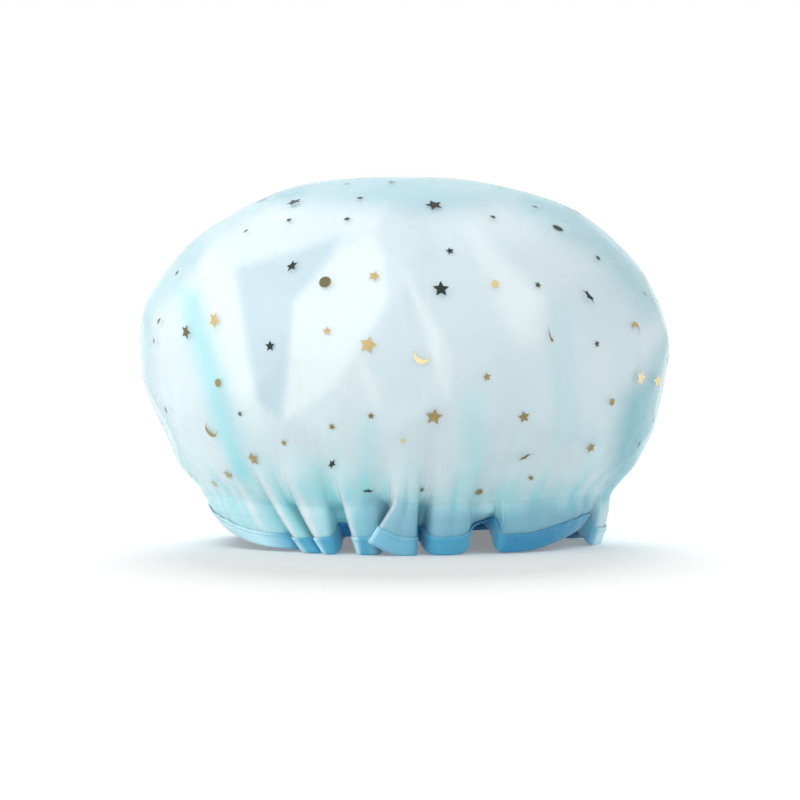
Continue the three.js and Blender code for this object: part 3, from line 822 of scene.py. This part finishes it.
def film_fields():
    """The film's tones, with painted light, painted shade and painted rim shade, and how much it covers."""
    drop = down_rows(0.7, 1.0)
    hang = down_rows(0.42, 0.88)
    valley = 1.0 - smooth(gather_radius, VALLEY_RADIUS + 1.0, VALLEY_RADIUS + 6.0)
    # Deeper colour in the creases between the tucks, partly film layering and partly painted crease shade
    creases = CREASE_AQUA_AND_SHADE * drop * (1.0 - np.clip(tuck_height, 0.0, 1.0)) + STREAK_AQUA * hang * streaks
    below_seam = (np.arange(ROWS) - SEAM_ROW)[:, None] + 4.0 * on_columns(round_noise(22, seed=17))
    frill_share = smooth(below_seam, -4.0, 7.0)
    # Painted shade on the frill right of the middle, but not on the lit right tip
    painted_frill_shade = frill_share * shaded_right_of_middle * (1.0 - lit_right_tip)
    # The aqua also holds part of the painted frill shade
    aqua = HANG_AQUA * hang + drop * (DRAWN_AQUA + VALLEY_AQUA * valley) + FRILL_AQUA * painted_frill_shade + creases
    aqua += FRILL_AQUA * frill_share * lobe * smooth(hem_angle, -110.0, -90.0)
    aqua[DOME] += FACET_AQUA * sides * np.clip(soften(facet_tone, 14), 0.0, 1.0) * facet_weight
    aqua += front_patches(film, film_normals, AQUA_PATCHES)
    # Painted shade along the rims
    painted_rim_shade = front_patches(film, film_normals, PAINTED_RIM_SHADE_PATCHES)
    return {
        "veil": np.clip(FILM_VEIL + aqua + painted_rim_shade, FILM_VEIL, MOST_VEIL),
        "aqua": np.clip(aqua / FULL_AQUA, 0.0, 1.0),
        "painted_rim_shade": np.clip(painted_rim_shade / FULL_RIM_SHADE, 0.0, 1.0),
        "painted_frill_shade": 0.9 * painted_frill_shade,
        # Painted light on the lit flanks and the right tip
        "painted_light": np.clip(0.8 * drop * painted_light + 0.75 * frill_share * lit_right_tip, 0.0, 1.0),
    }


LINING_DROP = 1.8  # how far the lining's crown hangs below the film's
film_piece = sheet_object("film_sheet", apex, film, FILM, film_fields())
lining_tones = {"tone": lining_tone(), "tint": lining_tint()}
lining_piece = sheet_object("lining_sheet", apex - [0, 0, LINING_DROP], lining, LINING, lining_tones)

# The satin tape: outer leg, fold under the raw edges, inner leg up behind the elastic
TAPE_THICKNESS = 0.25
TAPE_OUTER_LEG = 7.5
TAPE_CLEAR = 0.3
TAPE_INSIDE = 0.75  # distance of the inner leg behind the film
OUTER_STEPS = 6
INNER_RISES = (0.0, 1.5, 3.0, 5.0, 7.5, 9.0, 10.5)
EDGE_LIFT = 0.15
FOLD_DROP = 0.1
LEG_RADIUS = 69.2
LEG_ROWS = 8
LEG_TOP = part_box("hem_tape")[1].z / MM
leg_radius = LEG_RADIUS - 0.35 * (gather_radius - VALLEY_RADIUS)


def frill_layer(offset, drop_from_hem, top_row):
    """Points of a layer beside the frill, some way up each column from the hem, as far as a row."""
    run = run_along(film[:top_row - 1:-1])
    layer = (film + offset * film_normals)[:top_row - 1:-1]
    places = np.empty((COLUMNS, 3))
    for j in range(COLUMNS):
        reach = min(drop_from_hem, run[-1, j])
        for k in range(3):
            places[j, k] = np.interp(reach, run[:, j], layer[:, j, k])
    return places


def outer_layer(offset, drop_from_hem):
    return frill_layer(TAPE_CLEAR + offset, drop_from_hem, SEAM_ROW + 2)


def tape_rows():
    outer = []
    for i in range(OUTER_STEPS + 1):
        outer.append(outer_layer(TAPE_THICKNESS / 2, TAPE_OUTER_LEG * (1 - i / OUTER_STEPS)))
    inner = [frill_layer(-TAPE_INSIDE, rise, CHANNEL_ROW) for rise in INNER_RISES]
    under = 0.5 * (outer[-1] + inner[0])
    under[:, 2] -= FOLD_DROP
    for row in (outer[-1], inner[0]):
        row[:, 2] += EDGE_LIFT
    legs = [polar(gather_angle, leg_radius, z) for z in np.linspace(SEAM_LOW - 1.0, LEG_TOP, LEG_ROWS)]
    rows = np.array(outer + [under] + inner + legs)
    rows[..., 2] = np.maximum(rows[..., 2], 0.5 * TAPE_THICKNESS)
    return rows


tape = tape_rows()
satin_tones = {
    # Painted light on the satin
    "painted_satin_light": np.tile(np.maximum(lit_left_lobe + lit_right_tip + lit_front_pleat, 0.9 * painted_light[-1]), (len(tape), 1)),
    # Painted shade on the satin, in the hem's folds and on the long wave
    "painted_satin_shade": np.tile(np.maximum(1.0 - smooth(hem_radius, 70.0, 77.0), shaded_long_wave), (len(tape), 1)),
}
tape_faces = ring_faces(len(tape), COLUMNS)
tape_piece = mesh_object("satin_tape", tape.reshape(-1, 3), tape_faces, SATIN, satin_tones)
weave = tape_piece.data.uv_layers.new(name="weave")
along_tape = np.tile(np.arange(COLUMNS) * COLUMN_STEP, len(tape))
across_tape = np.repeat(run_along(tape).mean(1), COLUMNS)
loops = np.zeros(len(tape_piece.data.loops), int)
tape_piece.data.loops.foreach_get("vertex_index", loops)
weave.data.foreach_set("uv", np.stack([along_tape[loops], across_tape[loops]], axis=-1).ravel())
thicken = tape_piece.modifiers.new("thickness", "SOLIDIFY")
thicken.thickness = TAPE_THICKNESS * MM
thicken.offset = 0.0

# The elastic: a ribbed strip, once round with a lap at the back
ELASTIC_STEPS = 720
LAP_ANGLE = 12.8
LAP_STEP = 1.3  # how far in the lapped end steps
RIBS = 7
RIB_STEPS = 4
RIB_HEIGHT = 0.12
WEAVE_HEIGHT = 0.06
WEAVE_WAVES = 260


def elastic_section():
    """Distance out and height of the points round the strip's section."""
    shares = np.linspace(0.0, 1.0, RIBS * RIB_STEPS + 1)
    ribs = RIB_HEIGHT * np.cos(2 * math.pi * RIBS * shares) - RIB_HEIGHT
    heights = elastic_low + (elastic_high - elastic_low) * shares
    outs = np.concatenate([ribs, -ELASTIC_THICKNESS - ribs[::-1]])
    return outs, np.concatenate([heights, heights[::-1]])


def elastic_strip():
    lap = math.radians(LAP_ANGLE)
    turn = np.linspace(0.0, 2 * math.pi + lap, ELASTIC_STEPS)[:, None]
    outer = ELASTIC_RADIUS - LAP_STEP * smooth(turn, 2 * math.pi - lap, 2 * math.pi)
    outs, heights = elastic_section()
    radius = outer + outs + WEAVE_HEIGHT * np.sin(turn * WEAVE_WAVES)
    points = polar(180.0 + np.degrees(turn), radius, heights)
    count = len(outs)
    faces = turned_over(ring_faces(ELASTIC_STEPS, count))
    faces.append(tuple(range(count))[::-1])
    faces.append(tuple((ELASTIC_STEPS - 1) * count + j for j in range(count)))
    return mesh_object("elastic_strip", points.reshape(-1, 3), faces, ELASTIC)


elastic_piece = elastic_strip()

# Stitches
STITCH_LENGTH = 2.5
STITCH_GAP = 0.5
STITCH_SIDES = 6
STITCH_BEND = 0.12
THREAD_RADIUS = 0.1
# Along a stitch: how far it stands out, as a share of its bend, and how thick it is
STITCH_RISE = np.array([-1.6, 0.6, 1.0, 0.6, -1.6])
STITCH_GIRTH = np.array([0.45, 0.9, 1.0, 0.9, 0.45])


def stitch_mesh(paths, name, bend):
    """Separate stitches along paths of points with outward normals."""
    points = []
    faces = []
    count = len(STITCH_RISE)
    for places, outs in paths:
        run = run_along(places)
        for start in np.arange(0.0, run[-1] - STITCH_LENGTH, STITCH_LENGTH):
            spots = start + np.linspace(0.0, STITCH_LENGTH - STITCH_GAP, count)
            centre = np.stack([np.interp(spots, run, places[:, k]) for k in range(3)], axis=-1)
            out = unit(np.stack([np.interp(spots, run, outs[:, k]) for k in range(3)], axis=-1))
            side = np.cross(unit(np.gradient(centre, axis=0)), out)
            first = len(points)
            for i in range(count):
                top = centre[i] + out[i] * bend * STITCH_RISE[i]
                for turn in 2 * math.pi * np.arange(STITCH_SIDES) / STITCH_SIDES:
                    round_thread = math.cos(turn) * out[i] + math.sin(turn) * side[i]
                    points.append(top + THREAD_RADIUS * STITCH_GIRTH[i] * round_thread)
            faces.extend(turned_over(ring_faces(count, STITCH_SIDES, first)))
            faces.append(tuple(range(first, first + STITCH_SIDES))[::-1])
            faces.append(tuple(range(len(points) - STITCH_SIDES, len(points))))
    return mesh_object(name, points, faces, THREAD)


def stand_in(piece, node):
    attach(piece, "root")
    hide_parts(node)


def seam_row(points, normals, lift):
    """A closed path of stitches at some distance from a row of points."""
    return tuple(np.vstack([row, row[:1]]) for row in (points + lift * normals, normals))


SEAM_INSET = 1.5
SUNK = -0.26  # the gather stitches lie under the film's surface
PROUD = 0.1
BAND_ROW = -12  # row of the film beside the tape's upper edge
band_height = TAPE_OUTER_LEG - SEAM_INSET
band_top = outer_layer(TAPE_THICKNESS, band_height)
band_back = frill_layer(-TAPE_INSIDE - TAPE_THICKNESS / 2, band_height, CHANNEL_ROW)
leg_low, leg_high = (polar(gather_angle, leg_radius - 0.12, height) for height in (SEAM_LOW, SEAM_HIGH))
stitch_rows = {
    "upper_gather_needle_thread": seam_row(film[SEAM_ROW], film_normals[SEAM_ROW], SUNK),
    "lower_gather_needle_thread": seam_row(film[CHANNEL_ROW], film_normals[CHANNEL_ROW], SUNK),
    "tape_edge_needle_thread": seam_row(band_top, film_normals[BAND_ROW], PROUD),
    "upper_gather_bobbin_thread": seam_row(leg_high, -straight_out(leg_high), PROUD),
    "lower_gather_bobbin_thread": seam_row(leg_low, -straight_out(leg_low), PROUD),
    "tape_edge_bobbin_thread": seam_row(band_back, -film_normals[BAND_ROW], PROUD),
}
for node, path in stitch_rows.items():
    stand_in(stitch_mesh([path], node.replace("thread", "stitches"), STITCH_BEND), node)

# The zigzag that tacks the elastic's lapped ends
TACK_STITCHES = 12
TACK_INSET = 1.0
TACK_DEPTH = 2.75
TACK_BEND = 0.05


def bartack():
    order = np.arange(TACK_STITCHES + 1)
    angles = 180.0 + LAP_ANGLE * np.linspace(0.15, 0.85, TACK_STITCHES + 1)
    heights = np.where(order % 2, elastic_high - TACK_INSET, elastic_low + TACK_INSET)
    corners = polar(angles, np.full(len(order), ELASTIC_RADIUS - TACK_DEPTH), heights)
    paths = []
    for start, end in zip(corners[:-1], corners[1:]):
        line = start + (end - start) * np.linspace(0.0, 1.0, 12)[:, None]
        paths.append((line, -straight_out(line)))
    return stitch_mesh(paths, "elastic_tack", TACK_BEND)


bartack_piece = bartack()

# Foil print by kind: pixel in the photograph, size and tone, a painted reflection from 0, dark, to 1,
# bright, and on a small fold the share of its width across the way that it lies, and that way in degrees
FRONT_PRINT = {
    "star": [
        ((294, 202), 7.5, 0.0), ((434, 205), 7.5, 0.02), ((292, 266), 6.0, 0.0, 0.75, 60.0),
        ((441, 289), 7.0, 0.0), ((374, 276), 4.8, 0.66), ((368, 345), 7.2, 0.85),
        ((214, 320), 8.0, 0.82, 0.7, 112.0), ((186, 332), 7.0, 0.2, 0.7, 120.0), ((270, 346), 4.6, 0.0),
        ((327, 331), 3.8, 0.68), ((434, 417), 7.2, 0.68), ((524, 417), 5.2, 0.42),
        ((253, 459), 6.6, 0.62), ((228, 475), 5.4, 0.7), ((214, 484), 4.6, 0.85),
        ((332, 464), 6.5, 0.05, 0.45, 40.0), ((591, 448), 5.2, 0.45), ((641, 378), 6.5, 0.95, 1.5, 90.0),
        ((658, 381), 6.5, 0.93, 2.0, 90.0), ((487, 377), 3.8, 0.5), ((450, 251), 3.6, 0.0),
        ((589, 296), 8.0, 0.0, 0.4, 123.0), ((525, 457), 7.0, 0.35, 0.28, 35.0),
        ((531, 478), 4.0, 0.5, 0.6, 140.0),
    ],
    "dot": [
        ((325, 282), 4.8, 0.18), ((558, 228), 4.8, 0.0, 0.75, 145.0), ((495, 284), 3.2, 0.91),
        ((218, 383), 3.4, 0.55), ((612, 402), 3.0, 0.5), ((479, 492), 3.2, 0.68),
    ],
    "moon": [
        ((211, 430), 6.2, 0.55), ((422, 356), 6.5, 1.0), ((636, 329), 6.0, 0.7),
        ((551, 334), 6.5, 0.35, 0.3, 98.0),
    ],
    "small": [
        ((347, 184), 3.4, 0.3), ((391, 182), 3.4, 0.3), ((360, 198), 3.4, 0.05), ((347, 219), 3.4, 0.08),
        ((289, 220), 3.0, 0.05), ((246, 231), 3.2, 0.1), ((177, 273), 3.2, 0.0), ((493, 217), 3.2, 0.1),
        ((535, 207), 3.2, 0.1), ((538, 285), 3.2, 0.1), ((598, 258), 3.2, 0.05),
        ((645, 294), 3.6, 0.1, 0.6, 130.0), ((597, 344), 3.2, 0.1), ((166, 410), 4.0, 0.35),
        ((240, 414), 2.8, 0.2), ((284, 443), 3.4, 0.65), ((332, 427), 3.2, 0.5), ((371, 416), 3.0, 0.4),
        ((403, 441), 3.0, 0.95), ((422, 490), 3.0, 0.4, 0.7, 80.0), ((368, 491), 5.5, 0.1, 0.35, 0.0),
        ((639, 444), 2.8, 0.15), ((159, 321), 4.0, 0.3), ((154, 341), 3.4, 0.4),
    ],
}
# Ways that the horns of the moons lie away from, in degrees
TURNED_MOONS = {(636, 329): 80.0, (422, 356): 250.0}
MOON_TURN = 228.0
FLAT = (1.0, 0.0)  # the width and lie of a motif on no fold
PRINT_LIFT = 0.1
PRINT_SPACING = 21.0
PRINT_ABOVE = 6.0  # a motif's points drop onto the film from this height
PRINT_DROP = 14.0  # and fall at most this far
SPIN = 0.5  # most that a star or dot at the front is turned, in radians
# The scatter on the sides and the back: kinds in turn and their sizes
SCATTER_KINDS = ["star", "small", "star", "small", "dot", "moon", "small", "star", "small", "dot"]
SCATTER_SIZES = {"star": 7.0, "small": 3.4, "dot": 4.2, "moon": 6.3}
STAR_WAIST = 0.48
MOON_HALF = 0.72 * np.pi


def round_outline(turn, reach):
    return np.stack([reach * np.cos(turn), reach * np.sin(turn)], axis=-1)


def motif_outline(kind, size):
    if kind == "dot":
        return round_outline(np.linspace(0.0, 2 * np.pi, 20, endpoint=False), size / 2)
    reach = size / 2 * np.where(np.arange(10) % 2, STAR_WAIST, 1.0)
    return round_outline(np.pi / 2 + np.arange(10) * np.pi / 5, reach)


def moon_parts(size):
    """Points and faces of a crescent, in two strips."""
    turn = np.linspace(-MOON_HALF, MOON_HALF, 15)
    outer = round_outline(turn, size / 2)
    thick = 0.34 * size * np.clip(np.cos(turn / 1.44), 0.0, 1.0) ** 0.8
    inner = outer - np.stack([thick, 0.0 * thick], axis=-1) * 0.9
    count = len(turn)
    faces = []
    for i in range(count - 1):
        for row in (0, count):
            faces.append((row + i, row + i + 1, row + count + i + 1, row + count + i))
    return np.vstack([outer, 0.5 * (outer + inner), inner]), faces


def motif_parts(kind, size):
    """Points in the plane and faces of one motif."""
    if kind == "moon":
        return moon_parts(size)
    outline = motif_outline(kind, size)
    count = len(outline)
    faces = []
    for i in range(count):
        n = (i + 1) % count
        faces.append((i, n, count + n, count + i))
        faces.append((count + i, count + n, 2 * count))
    return np.vstack([outline, 0.5 * outline, [[0.0, 0.0]]]), faces


def lay_motif(tree, centre, normal, kind, size, spin, fold=FLAT):
    """Points of a motif on the film, and its faces, or nothing where it would hang over an edge."""
    normal = unit(normal)
    side = np.cross([0.0, 0.0, 1.0], normal)
    side /= max(np.linalg.norm(side), 1e-6)
    up = np.cross(normal, side)
    flat, faces = motif_parts(kind, size)
    turn = np.array([[math.cos(spin), -math.sin(spin)], [math.sin(spin), math.cos(spin)]])
    width, lie = fold[0], math.radians(fold[1])
    across = np.array([-math.sin(lie), math.cos(lie)])
    flat = flat @ turn.T
    flat = flat + (width - 1.0) * (flat @ across)[:, None] * across
    points = []
    for x, y in flat:
        over = centre + x * side + y * up + PRINT_ABOVE * normal
        hit = tree.ray_cast(Vector(over), Vector(-normal), PRINT_DROP)[0]
        if hit is None:
            return None
        points.append(np.array(hit) + PRINT_LIFT * normal)
    return points, faces


def foil_print():
    tree = tree_of(film[DOME])
    points = []
    faces = []
    tones = []
    placed = []

    def add(laid, tone):
        if laid is None:
            return
        first = len(points)
        points.extend(laid[0])
        faces.extend(tuple(first + k for k in face) for face in laid[1])
        tones.extend([tone] * len(laid[0]))

    front_print = [(kind, *motif) for kind, motifs in FRONT_PRINT.items() for motif in motifs]
    for kind, pixel, size, tone, *fold in front_print:
        hit, normal = hit_from_camera(tree, pixel)
        if hit is None:
            continue
        normal = np.array(normal)
        if normal @ CAMERA_FORWARD > 0:
            normal = -normal
        if kind == "moon":
            spin = math.radians(TURNED_MOONS.get(pixel, MOON_TURN))
        else:
            spin = rng.uniform(-SPIN, SPIN)
        add(lay_motif(tree, np.array(hit), normal, kind, size, spin, fold or FLAT), tone)
        placed.append(np.array(hit))
    scatter_rows = slice(3, SEAM_ROW - 6)
    flat = film[scatter_rows].reshape(-1, 3)
    outward = film_normals[scatter_rows].reshape(-1, 3)
    front = (outward @ CAMERA_FORWARD) < -0.12
    for index in rng.permutation(len(flat))[:SCATTER_TRIES]:
        point = flat[index]
        if front[index] or np.linalg.norm(np.array(placed) - point, axis=1).min() < PRINT_SPACING:
            continue
        kind = SCATTER_KINDS[len(placed) % len(SCATTER_KINDS)]
        # Random painted reflections, from dark to gold
        tone = float(np.clip(rng.normal(0.45, 0.3), 0.0, 1.0))
        size = SCATTER_SIZES[kind] * rng.uniform(0.9, 1.05)
        add(lay_motif(tree, point, outward[index], kind, size, rng.uniform(0, 6.3)), tone)
        placed.append(point)
    # Painted highlights on the brightest motifs
    glints = smooth(np.array(tones), 0.85, 1.0)
    return mesh_object("foil_print", points, faces, FOIL, {"tone": tones, "glint": glints})


print_piece = foil_print()

stand_in(film_piece, "outer_film")
stand_in(lining_piece, "inner_lining")
stand_in(tape_piece, "hem_tape")
stand_in(elastic_piece, "elastic_band")
stand_in(bartack_piece, "elastic_bartack")
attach(print_piece, "root")

# Camera
scene = bpy.context.scene
camera_data = bpy.data.cameras.new("camera")
camera_data.sensor_width = SENSOR_WIDTH
camera_data.lens = SENSOR_WIDTH * CAMERA_DISTANCE / (PHOTO_SIZE * MM_PER_PIXEL)
camera_data.clip_end = 100.0
camera = bpy.data.objects.new("camera", camera_data)
camera.location = Vector(CAMERA_PLACE) * MM
camera.rotation_euler = (math.pi / 2 - CAMERA_ELEVATION, 0.0, 0.0)
scene.collection.objects.link(camera)
scene.camera = camera
scene.view_settings.view_transform = "Standard"

# Stage and light
FLOOR_REACH = 30.0
WHITE = (1.0, 1.0, 1.0, 1.0)
FLOOR_GREY = (0.9, 0.9, 0.9, 1.0)
FLOOR_GLOW = 0.02  # lifts the floor to white where the camera sees it
WORLD_LIGHT = 0.62
SUN_DISTANCE = 2.0


def camera_white(graph):
    """1 for what the camera sees, straight, through film or mirrored, and 0 for light on other things."""
    seen = graph.node("LightPath").outputs
    through = graph.larger(seen["Is Camera Ray"], seen["Is Transmission Ray"])
    return graph.larger(through, seen["Is Glossy Ray"])


def floor_look(look):
    look.put("Base Color", FLOOR_GREY)
    look.put("Roughness", 0.9)
    look.put("Specular IOR Level", 0.0)
    look.put("Emission Color", WHITE)
    look.put("Emission Strength", look.remap(camera_white(look), 0.0, FLOOR_GLOW))


def make_floor():
    mesh = bpy.data.meshes.new("floor")
    corners = [(FLOOR_REACH * x, FLOOR_REACH * y, 0) for x, y in ((-1, -1), (1, -1), (1, 1), (-1, 1))]
    mesh.from_pydata(corners, [], [(0, 1, 2, 3)])
    mesh.materials.append(material_of("floor", floor_look))
    floor = bpy.data.objects.new("floor", mesh)
    scene.collection.objects.link(floor)
    return floor


def make_world():
    scene.world = bpy.data.worlds.new("studio")
    sky = Graph(scene.world, "Background")
    sky.put("Color", WHITE)
    sky.put("Strength", sky.remap(camera_white(sky), WORLD_LIGHT, 1.0))


def floor_set(state):
    """The floor as a set, for lamps that light only it or all but it."""
    chosen = bpy.data.collections.new("floor_" + state.lower())
    chosen.objects.link(floor)
    chosen.collection_objects[0].light_linking.link_state = state
    return chosen


def make_sun(name, azimuth, elevation, spread, strength, mirrored, receivers):
    """Even light from one side: azimuth from the front, to the right, elevation and spread, in degrees."""
    data = bpy.data.lights.new(name, "SUN")
    data.angle = math.radians(spread)
    data.energy = strength
    light = bpy.data.objects.new(name, data)
    around, up = math.radians(azimuth), math.radians(elevation)
    away = Vector((math.sin(around) * math.cos(up), -math.cos(around) * math.cos(up), math.sin(up)))
    light.location = SUN_DISTANCE * away
    light.rotation_euler = (-away).to_track_quat("-Z", "Y").to_euler()
    light.visible_glossy = mirrored
    light.light_linking.receiver_collection = receivers
    scene.collection.objects.link(light)
    return light


floor = make_floor()
make_world()
all_but_floor = floor_set("EXCLUDE")
only_floor = floor_set("INCLUDE")
# Lamps: azimuth, elevation, spread, strength, whether they show in gloss, and what they light
make_sun("key", -56.0, 50.0, 106.0, 1.22, True, all_but_floor)
make_sun("back", 180.0, 30.0, 45.0, 1.25, False, all_but_floor)
make_sun("glint", -65.0, 35.0, 9.0, 0.22, True, all_but_floor)
make_sun("shadow", 180.0, 36.0, 34.0, 2.0, False, only_floor)
fill_lamp = make_sun("fill", 0.0, 90.0, 20.0, 0.62, False, only_floor)
fill_lamp.light_linking.blocker_collection = only_floor
